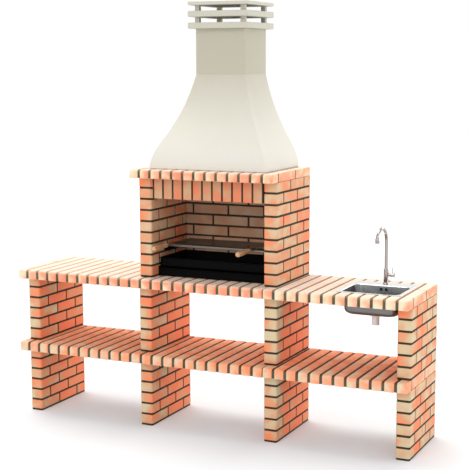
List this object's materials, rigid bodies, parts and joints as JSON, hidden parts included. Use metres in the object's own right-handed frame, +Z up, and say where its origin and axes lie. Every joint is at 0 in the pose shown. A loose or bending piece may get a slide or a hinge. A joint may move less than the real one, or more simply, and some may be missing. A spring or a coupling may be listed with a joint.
{
  "type": "outdoor masonry barbecue",
  "caption": "Outdoor masonry barbecue with brick piers, a tiled shelf and worktop, a firebox with a concrete hood and flue, a sliding grill and trays, and a sink with a swivel tap",
  "frame": {"origin": "on the floor, under the middle of the whole barbecue's box", "axes": "+X to the right seen from the front, where the sink is; +Y to the back; +Z up"},
  "size_m": [2.363, 0.581, 2.3862],
  "materials": {
    "brickwork": "fired brick in cement mortar",
    "tiles": "fired clay tiles in cement mortar",
    "core": "cast concrete",
    "concrete": "smooth cast concrete, cream",
    "black_steel": "heat-proof black paint",
    "zinc_wire": "zinc-plated steel wire",
    "beech": "varnished beech",
    "sink_steel": "brushed stainless steel",
    "chrome": "polished chrome",
    "waste_plastic": "pale moulded plastic"
  },
  "bodies": {
    "barbecue": {"cap_plate_lower": "concrete", "cap_plate_middle": "concrete", "cap_plate_top": "concrete", "cap_spacer_lower_back_left": "concrete", "cap_spacer_lower_back_right": "concrete", "cap_spacer_lower_front_left": "concrete", "cap_spacer_lower_front_right": "concrete", "cap_spacer_middle_back_left": "concrete", "cap_spacer_middle_back_right": "concrete", "cap_spacer_middle_front_left": "concrete", "cap_spacer_middle_front_right": "concrete", "firebox_back_wall": "brickwork", "firebox_left_wall": "brickwork", "firebox_right_wall": "brickwork", "flue": "concrete", "grill_cross_bar_front": "zinc_wire", "grill_cross_bar_rear": "zinc_wire", "grill_support_left": "black_steel", "grill_support_right": "black_steel", "hood": "concrete", "lintel": "brickwork", "pier_1_lower": "brickwork", "pier_1_upper": "brickwork", "pier_2_lower": "brickwork", "pier_2_upper": "brickwork", "pier_3_lower": "brickwork", "pier_3_upper": "brickwork", "pier_4_lower": "brickwork", "pier_4_upper": "brickwork", "shelf_centre_core": "core", "shelf_centre_tiles": "tiles", "shelf_left_core": "core", "shelf_left_tiles": "tiles", "shelf_right_core": "core", "shelf_right_tiles": "tiles", "sink": "sink_steel", "sink_waste": "waste_plastic", "tap_base_ring": "chrome", "tap_body": "chrome", "tap_shank_nut": "chrome", "tap_valve_neck": "chrome", "top_slab_core": "core", "top_slab_tiles": "tiles", "tray_stand": "black_steel", "worktop_centre_core": "core", "worktop_centre_tiles": "tiles", "worktop_left_core": "core", "worktop_left_tiles": "tiles", "worktop_right_core": "core", "worktop_right_tiles": "tiles"},
    "grill": {"cooking_grill": "zinc_wire", "grill_handle_left": "beech", "grill_handle_right": "beech"},
    "charcoal_tray": {"charcoal_tray": "black_steel"},
    "ash_drawer": {"ash_drawer": "black_steel"},
    "strainer": {"sink_strainer": "sink_steel"},
    "spout": {"tap_spout": "chrome", "tap_aerator": "chrome"},
    "tap_handle": {"tap_handle": "chrome", "tap_lever": "chrome"}
  },
  "joints": [
    {"name": "grill_slide", "type": "slide", "parent": "barbecue", "child": "grill", "axis": [0, -1, 0], "range_m": [0, 0.11]},
    {"name": "charcoal_tray_slide", "type": "slide", "parent": "barbecue", "child": "charcoal_tray", "axis": [0, -1, 0], "range_m": [0, 0.16]},
    {"name": "ash_drawer_slide", "type": "slide", "parent": "barbecue", "child": "ash_drawer", "axis": [0, -1, 0], "range_m": [0, 0.25]},
    {"name": "strainer_lift", "type": "slide", "parent": "barbecue", "child": "strainer", "axis": [0, 0, 1], "range_m": [0, 0.12]},
    {"name": "spout_swivel", "type": "hinge", "parent": "barbecue", "child": "spout", "pos_m": [0.9275, 0.1275, 0.9434], "axis": [0, 0, 1], "range_deg": [-90, 90]},
    {"name": "tap_handle_turn", "type": "hinge", "parent": "barbecue", "child": "tap_handle", "pos_m": [0.9413, 0.1275, 0.9112], "axis": [1, 0, 0], "range_deg": [0, 90]}
  ]
}
